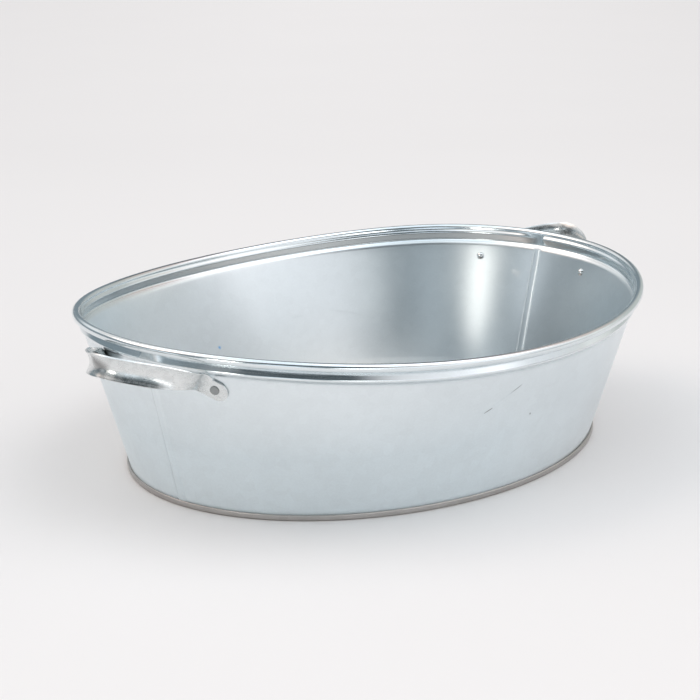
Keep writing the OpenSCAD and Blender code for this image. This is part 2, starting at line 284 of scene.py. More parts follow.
def node(tree, kind, *inputs, **settings):
    """Adds a node with its settings and links.

    Inputs come in order, or as one dict by name or number, and may be nodes or sockets."""
    kind, _, operation = kind.partition(" ")
    new = tree.nodes.new(kind)
    if operation:
        new.operation = operation
    for name, value in settings.items():
        setattr(new, name, value)
    named = inputs and isinstance(inputs[0], dict)
    for key, value in inputs[0].items() if named else enumerate(inputs):
        value = socket_of(value)
        if isinstance(value, bpy.types.NodeSocket):
            tree.links.new(value, new.inputs[key])
        else:
            new.inputs[key].default_value = value
    return new


def new_object(name, mesh):
    piece = bpy.data.objects.new(name, mesh)
    bpy.context.scene.collection.objects.link(piece)
    return piece


def mesh_of(name, work):
    """A mesh from finished bmesh work."""
    mesh = bpy.data.meshes.new(name)
    work.to_mesh(mesh)
    work.free()
    return mesh


def rows_mesh(name, rows, fields):
    """A mesh of bare points, one for each row, with the named values of each."""
    mesh = bpy.data.meshes.new(name)
    mesh.from_pydata([row["at"] for row in rows], [], [])
    for field, kind in fields.items():
        store = mesh.attributes.new(field, kind, "POINT")
        for item, row in zip(store.data, rows):
            if kind == "FLOAT":
                item.value = row.get(field, 0.0)
            else:
                item.vector = row[field]
    return mesh


def apply_modifiers(piece):
    """Turns a piece with modifiers into a plain mesh."""
    bpy.context.view_layer.update()
    seen = piece.evaluated_get(bpy.context.evaluated_depsgraph_get())
    mesh = bpy.data.meshes.new_from_object(seen)
    old = piece.data
    piece.modifiers.clear()
    piece.data = mesh
    bpy.data.meshes.remove(old)
    return piece


def run_tree(piece, tree, values):
    """Runs a node tree on a piece, with its inputs set by name."""
    modifier = piece.modifiers.new(tree.name, "NODES")
    modifier.node_group = tree
    for item in tree.interface.items_tree:
        if item.in_out == "INPUT" and item.name in values:
            modifier[item.identifier] = values[item.name]
    return apply_modifiers(piece)


def thicken(piece, thickness, bevel=0.0):
    """Gives a bare sheet its thickness and, where asked, rounded edges."""
    solid = piece.modifiers.new("Thickness", "SOLIDIFY")
    solid.thickness, solid.offset, solid.use_even_offset = thickness, 0.0, True
    if bevel:
        edge = piece.modifiers.new("Edges", "BEVEL")
        edge.width, edge.segments, edge.limit_method = bevel, 3, "ANGLE"
        edge.angle_limit = radians(BEVEL_ANGLE)
    return apply_modifiers(piece)


def smooth(piece):
    """Shades a piece smooth up to an angle, with its faces outward."""
    work = bmesh.new()
    work.from_mesh(piece.data)
    bmesh.ops.remove_doubles(work, verts=work.verts, dist=DOUBLES)
    bmesh.ops.recalc_face_normals(work, faces=work.faces)
    for face in work.faces:
        face.smooth = True
    work.to_mesh(piece.data)
    work.free()
    piece.data.set_sharp_from_angle(angle=radians(SMOOTH_ANGLE))
    return piece


def eased(points, backs):
    """An open outline with rounded corners, each bend starting so far before its corner."""
    points = [Vector(p) for p in points]
    path = [points[0]]
    for before, corner, after, back in zip(points, points[1:], points[2:], backs):
        start = corner.lerp(before, min(0.5, back / (before - corner).length))
        end = corner.lerp(after, min(0.5, back / (after - corner).length))
        path += bend(start, corner, end, BEND_STEPS)
    path.append(points[-1])
    return path


def bend(start, corner, end, steps):
    """Points of a smooth bend that touches both legs of a corner."""
    return [start.lerp(corner, k / steps).lerp(corner.lerp(end, k / steps), k / steps)
            for k in range(steps + 1)]


def curve_point(points, t):
    """A point of a smooth curve with four guide points."""
    while len(points) > 1:
        points = [a.lerp(b, t) for a, b in zip(points, points[1:])]
    return points[0]


# Node trees

# Kinds of nodes; a word after the type is the operation of a node that calculates
(PLUS, MINUS, TIMES, OVER, POWER, ROOT, SINE, COSINE, ROUND, ABSOLUTE, LARGER, TIMES_PLUS,
 ABOVE, BELOW) = ["ShaderNodeMath " + word for word in (
     "ADD", "SUBTRACT", "MULTIPLY", "DIVIDE", "POWER", "SQRT", "SINE", "COSINE", "ROUND",
     "ABSOLUTE", "MAXIMUM", "MULTIPLY_ADD", "GREATER_THAN", "LESS_THAN")]
SHIFT, OFFSET, SCALE, DOT, APART = ["ShaderNodeVectorMath " + word for word in (
    "ADD", "SUBTRACT", "SCALE", "DOT_PRODUCT", "DISTANCE")]
MAP_RANGE, MIX, SPLIT, JOIN, ROTATE, COORDINATES, NOISE = ["ShaderNode" + word for word in (
    "MapRange", "Mix", "SeparateXYZ", "CombineXYZ", "VectorRotate", "TexCoord", "TexNoise")]
NAMED, POSITION, SAMPLE, STORE, SET_POSITION, SET_MATERIAL, MERGE, REALIZE = [
    "GeometryNode" + word for word in (
        "InputNamedAttribute", "InputPosition", "SampleIndex", "StoreNamedAttribute",
        "SetPosition", "SetMaterial", "MergeByDistance", "RealizeInstances")]
# The distance below which points become one, and at how many times the angle of its end
# the groove has its full depth
WELD, CLOSING = 0.002 * MM, 1.8


def new_tree(name, **sockets):
    """A node group with these input sockets; returns it, their outputs and the adder."""
    tree = bpy.data.node_groups.new(name, "GeometryNodeTree")
    for kind, labels in sockets.items():
        for label in labels:
            tree.interface.new_socket(
                name=label, in_out="INPUT", socket_type="NodeSocket" + kind)
    tree.interface.new_socket(name="Geometry", in_out="OUTPUT", socket_type="NodeSocketGeometry")
    return tree, tree.nodes.new("NodeGroupInput").outputs, functools.partial(node, tree)


def rows_grid(add, rows, others):
    """A grid with a line of points for each row.

    Returns it, the place across it, and what reads a row's named number, its named
    vector or, without a name, its place."""
    count = add("GeometryNodeAttributeDomainSize", rows).outputs["Point Count"]
    grid = add("GeometryNodeMeshGrid", 1.0, 1.0, others, count).outputs["Mesh"]
    spot = add(SPLIT, add(POSITION)).outputs
    row = add(ROUND, add(TIMES, add(PLUS, spot["Y"], 0.5), add(MINUS, count, 1.0)))

    def number(name):
        return add(SAMPLE, rows, add(NAMED, name, data_type="FLOAT"), row, data_type="FLOAT")

    def vector(name=None):
        value = add(NAMED, name, data_type="FLOAT_VECTOR") if name else add(POSITION)
        return add(SAMPLE, rows, value, row, data_type="FLOAT_VECTOR")

    return grid, spot["X"], number, vector


def ellipse_support(add, half, cosine, sine):
    """Support value and rate of an ellipse with the given half axes."""
    axes = add(SPLIT, half).outputs
    squares = [add(POWER, add(TIMES, axis, part), 2.0)
               for axis, part in ((axes["X"], cosine), (axes["Y"], sine))]
    value = add(ROOT, add(PLUS, *squares))
    long, wide = [add(POWER, axes[name], 2.0) for name in "XY"]
    rate = add(TIMES, add(MINUS, wide, long), add(TIMES, cosine, sine))
    return value, add(OVER, rate, value)


def oval_sweep_tree():
    """Sweeps the rows of a sheet round the oval, from the base outline to the rim outline.

    A row's place is (outward, share of the flare, height). Its named values say how deep
    the pressed groove is there, and how far before the seam its sheet stops."""
    tree, given, add = new_tree(
        "Oval Sweep", Geometry=["Rows"], Int=["Columns"], Vector=["Base Half", "Rim Half"],
        Float=["Start", "Sweep", "Gathering", "Fullness", "Height", "Wave", "Corner",
               "Groove Fade", "Groove Stop", "Round End"],
        Material=["Sheet Material", "Rolled Material"])
    grid, across, number, vector = rows_grid(add, given["Rows"], given["Columns"])

    # Normal angle of the column: columns gather at the seams, rows stop short of them
    turn = add(PLUS, across, 0.5)
    ripple = add(TIMES, add(SINE, add(TIMES, turn, tau)), given["Gathering"])
    turn = add(MINUS, turn, add(OVER, ripple, tau))
    trim = number("trim")
    length_left = add(MINUS, given["Sweep"], add(TIMES, trim, 2.0))
    after = add(PLUS, add(TIMES, length_left, turn), trim)
    before = add(MINUS, given["Sweep"], after)
    p = add(PLUS, after, given["Start"])
    double, fourfold = [add(TIMES, p, times) for times in (2.0, 4.0)]
    cosine, sine = [add(wave, p) for wave in (COSINE, SINE)]

    # Distance from the centre and along the tangent, for the base and for the rim
    low, low_rate = ellipse_support(add, given["Base Half"], cosine, sine)
    high, high_rate = ellipse_support(add, given["Rim Half"], cosine, sine)
    full = add(TIMES, add(POWER, add(SINE, double), 2.0), given["Fullness"])
    full_rate = add(TIMES, add(TIMES, add(SINE, fourfold), given["Fullness"]), 2.0)
    high, high_rate = add(PLUS, high, full), add(PLUS, high_rate, full_rate)
    out, share, lift = add(SPLIT, vector()).outputs
    reach, along = [add(MIX, {0: share, 2: near, 3: far}, clamp_factor=False)
                    for near, far in ((low, high), (low_rate, high_rate))]
    reach = add(PLUS, reach, out)

    # The pressed groove fades in after one seam and ends round before the other
    bow = add(ROOT, add(MINUS, 1.0, add(POWER, number("across"), 2.0)))
    lag = add(TIMES, add(MINUS, 1.0, bow), given["Round End"])
    fade, stop = given["Groove Fade"], given["Groove Stop"]
    opening, closing = [
        add(MAP_RANGE, angle_left, start, end, 0.0, 1.0, interpolation_type="SMOOTHSTEP")
        for angle_left, start, end in (
            (after, 0.0, fade), (add(MINUS, before, lag), stop, add(TIMES, stop, CLOSING)))]
    depth = add(TIMES, add(TIMES, opening, closing), number("groove"))
    reach = add(MINUS, reach, depth)

    # Height of the rim at this column, and the point's place
    rise = add(PLUS, given["Height"], add(TIMES, add(COSINE, double), given["Wave"]))
    rise = add(MINUS, rise, add(TIMES, add(COSINE, fourfold), given["Corner"]))
    up = add(PLUS, add(TIMES, share, rise), lift)
    flat = add(ROTATE, {"Vector": add(JOIN, reach, along), "Angle": p},
               rotation_type="Z_AXIS")
    size = add(MINUS, 1.0, number("shrink"))
    at = add(SHIFT, add(SCALE, {0: flat, "Scale": size}), add(JOIN, 0.0, 0.0, up))

    # Way round and up the sheet, for patterns that follow it, and the finish of the roll
    far = add(SPLIT, given["Rim Half"]).outputs["Y"]
    way = add(JOIN, add(TIMES, after, far), number("girth"))
    mesh = add(STORE, {"Geometry": grid, "Name": "sheet_way", "Value": way},
               data_type="FLOAT_VECTOR")
    mesh = add(STORE, {"Geometry": mesh, "Name": "rolled", "Value": number("rolled")},
               data_type="FLOAT")
    mesh = add(SET_POSITION, {"Geometry": mesh, "Position": at})
    mesh = add(REALIZE, add(MERGE, {"Geometry": mesh, "Distance": WELD}))
    rolled = add(ABOVE, add(NAMED, "rolled", data_type="FLOAT"), 0.5)
    mesh = add(SET_MATERIAL, {"Geometry": mesh, "Material": given["Sheet Material"]})
    add("NodeGroupOutput", add(SET_MATERIAL, {
        "Geometry": mesh, "Selection": rolled, "Material": given["Rolled Material"]}))
    return tree


def strap_tree():
    """Lays a hollow strip across the stations of a path."""
    tree, given, add = new_tree("Strap Along Path", Geometry=["Stations"],
                                Int=["Points Across"], Material=["Strap Material"])
    grid, across, number, vector = rows_grid(add, given["Stations"], given["Points Across"])
    side = add(TIMES, across, 2.0)
    reach = add(TIMES, side, number("half"))
    dish = add(TIMES, add(MINUS, add(POWER, side, 2.0), 0.5), number("hollow"))
    wide, deep = [add(SCALE, {0: vector(name), "Scale": by})
                  for name, by in (("wide", reach), ("outward", dish))]
    at = add(SHIFT, add(SHIFT, wide, deep), vector())
    way = add(JOIN, number("girth"), reach)
    mesh = add(STORE, {"Geometry": grid, "Name": "sheet_way", "Value": way},
               data_type="FLOAT_VECTOR")
    mesh = add(REALIZE, add(SET_POSITION, {"Geometry": mesh, "Position": at}))
    add("NodeGroupOutput", add(SET_MATERIAL, {
        "Geometry": mesh, "Material": given["Strap Material"]}))
    return tree


def rivet_tree():
    """Turns a rivet from its half outline and sets one at each point, along its axis."""
    tree, given, add = new_tree(
        "Rivets On Points", Geometry=["Points"], Object=["Outline"], Int=["Points Around"],
        Material=["Head Material", "Dome Material"])
    outline = add("GeometryNodeObjectInfo", given["Outline"]).outputs["Geometry"]
    grid, around, _, vector = rows_grid(add, outline, given["Points Around"])
    at = add(ROTATE, {"Vector": vector(), "Angle": add(TIMES, around, tau)},
             rotation_type="Z_AXIS")
    rivet = add(SET_POSITION, {"Geometry": grid, "Position": at})
    rivet = add(MERGE, {"Geometry": rivet, "Distance": WELD})
    inner = add(BELOW, add(SPLIT, add(POSITION)).outputs["Z"], 0.0)
    rivet = add(SET_MATERIAL, {"Geometry": rivet, "Material": given["Head Material"]})
    rivet = add(SET_MATERIAL, {
        "Geometry": rivet, "Selection": inner, "Material": given["Dome Material"]})
    axis = add(NAMED, "axis", data_type="FLOAT_VECTOR")
    aim = add("FunctionNodeAlignRotationToVector", {"Vector": axis}, axis="Z")
    rivets = add("GeometryNodeInstanceOnPoints", {
        "Points": given["Points"], "Instance": rivet, "Rotation": aim})
    add("NodeGroupOutput", add(REALIZE, rivets))
    return tree


# Outlines of the pieces

# As shares: how far below the crease its bend starts, where on the collar it ends, where
# the collar's own rows start, and how the rings of the base draw together at its middle
CREASE_BACK, CREASE_TOP, COLLAR_LOW, DISC_SPACING = 0.02, 0.93, 0.9, 0.8
# The bend where a sheet rises onto a lock seam, and how far a rivet's edges are eased
LIP_BEND, RIVET_LIP = 0.8 * MM, 0.1 * MM

# A handle: how much of an ear's reach goes across the tub, how steeply its legs leave the
# wall, and how far the bow's guide points stand from its ends
EAR_ACROSS, LEG_RISE, BOW_OUT, BOW_ACROSS = 0.94, 0.22, 0.22, 0.37


def with_girth(rows, oval):
    """Adds to each row how far it lies along the sheet, measured at the tub's end."""
    girth, last = 0.0, None
    for row in rows:
        out, share, up = row["at"]
        spot = Vector((out + share * oval.spread(0.0), up + share * oval.top(0.0)))
        girth += (spot - last).length if last else 0.0
        row["girth"], last = girth, spot
    return rows


def wall_rows(oval):
    """Rows of a wall half, from its hook in the base seam to the end of the rim's curl."""
    tub, rim, folds = oval.tub, oval.rim, oval.folds
    half, low = tub.sheet / 2, tub.layer + tub.sheet / 2
    hook, radius = -tub.layer - half, rim.roll / 2 - half
    foot = Vector((oval.body_out, 0, folds.chime))
    crease = Vector((oval.crease_out, 1, -rim.collar_depth))

    def collar(f):
        """Point of the collar, f of the way from the roll down to the crease."""
        fall = min(1.0, max(0.0, (f - rim.bead_mid) / rim.bead_low))
        bead = rim.bead * (f / rim.bead_mid if f < rim.bead_mid
                           else (1 + cos(pi * fall)) / 2)
        return Vector((-radius + f * (oval.crease_out + radius) + bead, 1,
                       -rim.roll / 2 - f * (rim.collar_depth - rim.roll / 2)))

    path = eased([(hook, 0, folds.chime - tub.layer), (hook, 0, low),
                  (oval.body_out, 0, low), foot], [folds.bend] * 2)
    path += [foot.lerp(crease, k / WALL_STEPS) for k in range(1, WALL_STEPS)]
    path += bend(crease.lerp(foot, CREASE_BACK), crease, collar(CREASE_TOP), CREASE_STEPS)
    rows = [{"at": at} for at in path]
    for k in range(COLLAR_STEPS, -1, -1):
        f = COLLAR_LOW * k / COLLAR_STEPS
        rise = min(f / rim.groove_deep, 1.0)
        fall = min(max((f - rim.groove_deep) / (rim.bead_mid - rim.groove_deep), 0.0), 1.0)
        rows.append({"at": collar(f), "rolled": 1.0,
                     "across": 2 * min(f / rim.bead_mid, 1.0) - 1,
                     "groove": rim.groove * rise * rise * (3 - 2 * rise) * (1 - fall)})
    for k in range(1, CURL_STEPS + 1):
        a = pi + (rim.curl - pi) * k / CURL_STEPS
        rows.append({"at": Vector((radius * cos(a), 1,
                                   -rim.roll / 2 + radius * sin(a))), "rolled": 1.0})
    for row in rows:
        share = row["at"].y
        stop = folds.butt if share == 1 else folds.seam / 2 + folds.seam_rise
        row["trim"] = stop / oval.end_radius(share)
    return with_girth(rows, oval)


def base_rows(oval):
    """Rows of the base sheet, from its middle over the folded base seam to its hook."""
    tub, folds = oval.tub, oval.folds
    half = tub.sheet / 2
    inner, hook = -4 * tub.layer - half, -2 * tub.layer - half
    path = eased([(inner, 0, folds.base_lift - half), (inner, 0, half), (-half, 0, half),
                  (-half, 0, folds.chime - half), (hook, 0, folds.chime - half),
                  (hook, 0, 2 * tub.layer)],
                 [folds.bend + tub.layer] * 2 + [folds.bend] * 2)
    disc = [{"at": path[0], "shrink": 1 - (k / DISC_STEPS) ** DISC_SPACING}
            for k in range(DISC_STEPS)]
    rows = with_girth(disc + [{"at": at} for at in path], oval)
    for row in rows:
        row["girth"] -= row.get("shrink", 0.0) * oval.base_half[1]
    return rows


def seam_mesh(oval, name, turned):
    """Both sheets of a folded lock seam, still without their thickness."""
    tub, folds = oval.tub, oval.folds
    half, layer = tub.sheet / 2, tub.layer
    fold = folds.seam / 2 - half
    edge = folds.seam / 2 + folds.seam_rise
    over = [(edge, 0), (fold + half, 1.5 * layer), (-fold, 1.5 * layer),
            (-fold, -0.5 * layer), (fold - layer, -0.5 * layer)]
    work = bmesh.new()
    for side in (1, -1):
        path = eased([(side * y, side * lift, 0) for y, lift in over],
                     [LIP_BEND] + [folds.bend] * 2)
        columns = []
        for k in range(SEAM_STEPS + 1):
            rise = (oval.crease(0.0) - half - folds.chime) * k / SEAM_STEPS
            up, share = folds.chime + rise, rise / (oval.crease(0.0) - folds.chime)
            out = oval.body_out + share * (oval.crease_out - oval.body_out)
            columns.append([
                work.verts.new(oval.place(0.0, out + lift / cos(oval.lean(0.0)), up, share, y))
                for y, lift, _ in path])
        for low, high in zip(columns, columns[1:]):
            for corners in zip(low, low[1:], high[1:], high):
                work.faces.new(corners)
    if turned:
        bmesh.ops.rotate(work, verts=work.verts, matrix=Matrix.Rotation(pi, 3, "Z"))
    return mesh_of(name, work)


class Strap:
    """The path of the handle at +X."""

    def __init__(self, scene, oval):
        self.sizes, self.oval = scene.handle_sizes, oval
        sizes, tub = self.sizes, oval.tub
        self.rivet_y = sizes.spread / 2
        self.rivet_up = oval.top(oval.column(self.rivet_y, tub.end_height - sizes.drop))
        self.rivet_up -= sizes.drop
        self.ear_radius = sizes.ear / 2

    def ear(self, e):
        """Point of the ear at distance e past the rivet, on the middle of the strap."""
        sizes = self.sizes
        up = self.rivet_up - e * sin(sizes.slope)
        y = self.rivet_y + e * cos(sizes.slope) * EAR_ACROSS
        return self.oval.wall(self.oval.column(y, up), up, sizes.seat + sizes.thickness / 2)

    def ear_across(self, e):
        """The way across the strap there."""
        slope = self.sizes.slope
        p = self.oval.column(self.rivet_y + e * cos(slope), self.rivet_up)
        return (Vector((-sin(p), cos(p), 0)) * sin(slope)
                + self.oval.direction(p, 0, 1) * cos(slope))

    def half_stations(self):
        """Stations from the tip of one ear to the middle of the grip.

        Each is a place, half the strap's width, the depth of its hollow and its way across."""
        sizes, oval = self.sizes, self.oval
        fold = -sizes.fold
        stations = []
        for a in map(radians, (88, 80, 72, 63, 54, 45, 36, 27, 18, 9, 0)):
            e = sizes.ear_end + self.ear_radius * (sin(a) - 1)
            stations.append((self.ear(e), self.ear_radius * cos(a), 0.0,
                             self.ear_across(e)))
        for e in (sizes.ear_end - self.ear_radius) * 0.5, 0.0, fold / 2:
            stations.append((self.ear(e), self.ear_radius, 0.0, self.ear_across(e)))
        up, ahead = oval.direction(0.0, 0, 1), Vector((1, 0, LEG_RISE)).normalized()
        foot = self.ear(2 * fold) + sizes.leg * ahead + sizes.lift * up
        turn = [self.ear(fold), self.ear(2 * fold), foot - sizes.leg / 2 * ahead, foot]
        across = self.ear_across(2 * fold)
        stations += [(curve_point(turn, k / LEG_STEPS), self.ear_radius, 0.0, across)
                     for k in range(LEG_STEPS)]
        middle = Vector((oval.wall(0.0, self.rivet_up, 0).x + sizes.reach, 0,
                         self.rivet_up + sizes.rise))
        bow = [foot, foot + sizes.reach * BOW_OUT * ahead,
               middle + Vector((0, self.rivet_y * BOW_ACROSS, -sizes.sag)), middle]
        edge = sizes.thickness / 2 * sin(atan(4 * sizes.hollow / sizes.grip))
        for k in range(BOW_STEPS + 1):
            w = min(1.0, 2 * k / BOW_STEPS)
            ease = w * w * (3 - 2 * w)
            half = self.ear_radius + ease * (sizes.grip / 2 - edge - self.ear_radius)
            stations.append((curve_point(bow, k / BOW_STEPS), half, ease * sizes.hollow,
                             across.lerp(Vector((0, 0, 1)), ease)))
        return stations

    def stations(self, turned):
        """Stations of a whole handle, turned round for the one at -X."""
        half = self.half_stations()
        flip = [(Vector((at.x, -at.y, at.z)), width, hollow,
                 Vector((across.x, -across.y, across.z)))
                for at, width, hollow, across in reversed(half[:-1])]
        line = half + flip
        spin = Matrix.Rotation(pi if turned else 0.0, 3, "Z")
        rows, girth = [], 0.0
        for k, (at, width, hollow, across) in enumerate(line):
            ahead = line[min(k + 1, len(line) - 1)][0] - line[max(k - 1, 0)][0]
            ahead.normalize()
            wide = (across - across.dot(ahead) * ahead).normalized()
            outward = wide.cross(ahead)
            girth += (at - line[k - 1][0]).length if k else 0.0
            rows.append({"at": spin @ at, "half": width, "hollow": hollow, "girth": girth,
                         "wide": spin @ wide, "outward": spin @ outward})
        return rows


def rivet_outline(scene):
    """Half outline of a rivet from its domed inner head to its flat outer head."""
    sizes, handle, tub = scene.rivet_sizes, scene.handle_sizes, scene.tub_sizes
    low = -tub.sheet - sizes.dome_gap
    high = handle.seat + handle.thickness + sizes.head_gap
    ball = ((sizes.dome / 2) ** 2 + sizes.dome_height ** 2) / (2 * sizes.dome_height)
    span = asin(sizes.dome / 2 / ball)
    turns = [span * k / DOME_STEPS for k in range(DOME_STEPS + 1)]
    points = [(ball * sin(turn), low - sizes.dome_height + ball * (1 - cos(turn)))
              for turn in turns]
    edge, top, lip = sizes.head / 2, high + sizes.head_height, RIVET_LIP
    points += [(sizes.dome / 2 - 1.5 * lip, low + lip), (sizes.shank / 2, low + lip),
               (sizes.shank / 2, high), (edge - lip, high), (edge, high + 1.2 * lip),
               (edge, top - 3 * lip), (edge - lip, top - 1.2 * lip), (edge - 3 * lip, top),
               (edge * 0.72, top - 0.2 * lip), (edge * 0.45, top - 0.7 * lip),
               (0.0, top - lip)]
    return [{"at": Vector((x, 0, z))} for x, z in points]


# Materials

# Marks, each from point to point in millimetres, with its width: scratches and scuffs of use,
# a dark line of grime and painted shade in the near seam's crevice, blue specks of which the one
# at the seam's foot is a painted blue glint, and a darker patch at the middle of each grip
SCRATCHES = (((16, 181, 60), (74, 181, 89), 1.1), ((94, 164, 53), (120, 153, 56), 1.1),
             ((129, 149, 56), (146, 137, 52), 0.9), ((146, 137, 52), (162, 123, 46), 0.9),
             ((-83, -174, 74), (-53, -187, 90), 1.6), ((-83, -174, 70), (-60, -184, 83), 0.9),
             ((234, 21, 92), (234, 14, 91), 2.8), ((234, 18.5, 94), (234, 16.5, 89), 2.4))
# The last scuff is a dark line of grime and painted shade in the near seam's crevice
SCUFFS_AND_CREVICE_SHADE = (((-34, -181, 63), (-33.5, -181, 62.5), 1.2), ((-82, -175, 73), (-76, -177, 76), 0.7),
          ((-83, -174, 74), (-53, -187, 90), 0.5), ((-214.6, 2.5, 9), (-241.3, 2.5, 108), 1.2))
# The second speck, at the foot of the near seam, is a painted blue glint
BLUE_SPECKS_AND_GLINT = (((12, 176, 41), (12.5, 176, 40.5), 2.0), ((-213, 10, 5), (-213, 9.5, 4.5), 1.3))
# A darker patch at the middle of each grip
GRIP_PATCHES = (((-285.5, 6, 124), (-286, -2, 121), 7.5),
                 ((285.5, -6, 124), (286, 2, 121), 7.5))

# What part of a pattern's values is mapped to shades and gloss
CLOUDY, STREAKY, WHOLE = (0.3, 0.7), (0.35, 0.65), (0.0, 1.0)
# Where the haze at the near end starts and is full, and what it and a scratch add to the
# roughness
HAZE_X, HAZE_Z, HAZE, SCRATCHED = (60 * MM, -60 * MM), (100 * MM, 50 * MM), 0.45, 0.2
# How strongly the darker grip patches show
GRIP_PATCH_STRENGTH = 0.65


def joined(add, kind, parts):
    """Joins all parts in turn by nodes of this kind."""
    return functools.reduce(lambda a, b: add(kind, a, b), parts)


class Finish:
    """A surface in the making, whose patterns have their sizes in millimetres.

    A pattern is its size, detail and coarseness. One with three sizes is drawn out, and
    follows the sheet unless it is told to follow the piece. Crystals have a size alone."""

    def __init__(self, name, follow_piece=False, **patterns):
        self.material = bpy.data.materials.new(name)
        self.material.use_nodes = True
        self.material.node_tree.nodes.clear()
        add = self.add = functools.partial(node, self.material.node_tree)
        self.shader = add("ShaderNodeBsdfPrincipled")
        add("ShaderNodeOutputMaterial", {"Surface": self.shader})
        self.place = add(COORDINATES).outputs["Object"]
        self.patterns = {}
        for label, (size, *details) in patterns.items():
            spot, scale = self.place, 1.0
            if isinstance(size, tuple):
                if not follow_piece:
                    spot = add("ShaderNodeAttribute",
                               attribute_name="sheet_way").outputs["Vector"]
                sizes = tuple(1 / (part * MM) for part in size)
                spot = add("ShaderNodeMapping", {"Vector": spot, "Scale": sizes})
            else:
                scale = 1 / (size * MM)
            if details:
                details = dict(zip(("Detail", "Roughness"), details))
                pattern = add(NOISE, {"Vector": spot, "Scale": scale, **details})
            else:
                cells = add("ShaderNodeTexVoronoi", {"Vector": spot, "Scale": scale})
                pattern = add("ShaderNodeSeparateColor", cells.outputs["Color"])
            self.patterns[label] = pattern.outputs[0]

    def mapped(self, kind, **ranges):
        """Maps the named patterns to these ranges and joins them."""
        return joined(self.add, kind, [
            self.add(MAP_RANGE, self.patterns[label], *reach, *ends)
            for label, (reach, *ends) in ranges.items()])

    def tinted(self, tone, **ranges):
        """The tone, made lighter and darker by the named patterns."""
        return self.add(SCALE, {0: tuple(tone), "Scale": self.mapped(TIMES, **ranges)})

    def marks(self, strokes):
        """One on any of the strokes, zero elsewhere."""
        return joined(self.add, LARGER, [
            self.stroke(Vector(a) * MM, Vector(b) * MM, w * MM) for a, b, w in strokes])

    def stroke(self, start, end, width):
        """One along a straight mark between two points of the tub, zero beyond its width."""
        add, line = self.add, end - start
        arm = add(OFFSET, self.place, tuple(start)).outputs["Vector"]
        along = add(DOT, arm, tuple(line / line.length_squared)).outputs["Value"]
        along = add(PLUS, along, 0.0, use_clamp=True)
        foot = add(SCALE, {0: tuple(line), "Scale": along}).outputs["Vector"]
        away = add(APART, arm, foot).outputs["Value"]
        return add(MAP_RANGE, away, 0.0, width, 1.0, 0.0, interpolation_type="SMOOTHSTEP")

    def painted_over(self, tint, strokes, tone, strength=1.0):
        """The tint, with another tone over it where the strokes are."""
        share = self.add(TIMES, self.marks(strokes), strength)
        return self.add(MIX, {"Factor": share, 6: tint, 7: (*tone, 1)},
                        data_type="RGBA").outputs[2]

    def done(self, tint, rough, **relief):
        """Joins tint and roughness to the shader, with each pattern's height in millimetres."""
        height = joined(self.add, PLUS, [
            self.add(TIMES, self.patterns[label], rise * MM) for label, rise in relief.items()])
        bump = self.add("ShaderNodeBump", {
            "Strength": 1.0, "Distance": 1.0, "Height": height})
        links = self.material.node_tree.links
        for name, source in (("Base Color", tint), ("Roughness", rough), ("Normal", bump)):
            links.new(socket_of(source), self.shader.inputs[name])
        self.shader.inputs["Metallic"].default_value = 1.0
        return self.material


def galvanized_sheet(name, colours):
    """Galvanized sheet, dipped in zinc and then skin-passed between rollers.

    The rollers leave a pale even satin with a faint grain round the tub, weak remains
    of the zinc crystals, and shallow waves that bend what it mirrors. Water has left a
    dull haze low at the near end; grime and painted shade darken the crevice in the fold of
    the near seam. Handling has left fine scratches, a star-shaped smudge and a blue ink
    speck; the blue speck at the foot of the near seam is a painted blue glint."""
    zinc = Finish(name, crystal=(7,), specks=(1.6, 3.0), clouds=(60, 4.0, 0.6),
                  streaks=((50, 1.2, 1000), 4.0, 0.6), waves=(80, 1.0))
    tint = zinc.tinted(colours.sheet, crystal=(WHOLE, 0.985, 1.01),
                       clouds=(CLOUDY, 0.97, 1.02), specks=(CLOUDY, 0.985, 1.01))
    # Scuffs, and grime and painted shade in the near seam's crevice
    tint = zinc.painted_over(tint, SCUFFS_AND_CREVICE_SHADE, colours.scuff_and_crevice_shade)
    # Blue specks, one of them a painted blue glint at the foot of the near seam
    tint = zinc.painted_over(tint, BLUE_SPECKS_AND_GLINT, colours.marker)
    rough = zinc.mapped(PLUS, clouds=(CLOUDY, 0.289, 0.306), streaks=(STREAKY, -0.005, 0.01),
                        crystal=(WHOLE, -0.006, 0.01))
    x, _, z = zinc.add(SPLIT, zinc.place).outputs
    haze = zinc.add(TIMES, zinc.add(MAP_RANGE, x, *HAZE_X, 0.0, HAZE),
                    zinc.add(MAP_RANGE, z, *HAZE_Z))
    rough = zinc.add(PLUS, rough, haze)
    rough = zinc.add(TIMES_PLUS, zinc.marks(SCRATCHES), SCRATCHED, rough)
    return zinc.done(tint, rough, waves=0.5, streaks=0.0014, specks=0.0008)


def rolled_rim(name, colours):
    """The same sheet where the rim is rolled tight: brighter, polished by the rollers."""
    zinc = Finish(name, streaks=((30, 0.9, 1000), 3.0), clouds=(25, 3.0))
    rough = zinc.mapped(PLUS, streaks=(STREAKY, 0.14, 0.2), clouds=(CLOUDY, -0.02, 0.03))
    tint = zinc.tinted(colours.sheet, clouds=(CLOUDY, 0.96, 1.02))
    return zinc.done(tint, rough, streaks=0.005)


def base_sheet(name, colours):
    """The base sheet: the same zinc, duller from handling and from the floor; its darker, warmer
    tone is partly painted shade, standing in for the shadowed floor it mirrors at the tub's
    foot.
    """
    zinc = Finish(name, crystal=(8,), clouds=(45, 5.0, 0.6), specks=(1.8, 3.0))
    tint = zinc.tinted(colours.base, crystal=(WHOLE, 0.96, 1.02), clouds=(CLOUDY, 0.93, 1.02))
    rough = zinc.mapped(PLUS, clouds=(CLOUDY, 0.26, 0.38))
    return zinc.done(tint, rough, clouds=0.2, specks=0.006)


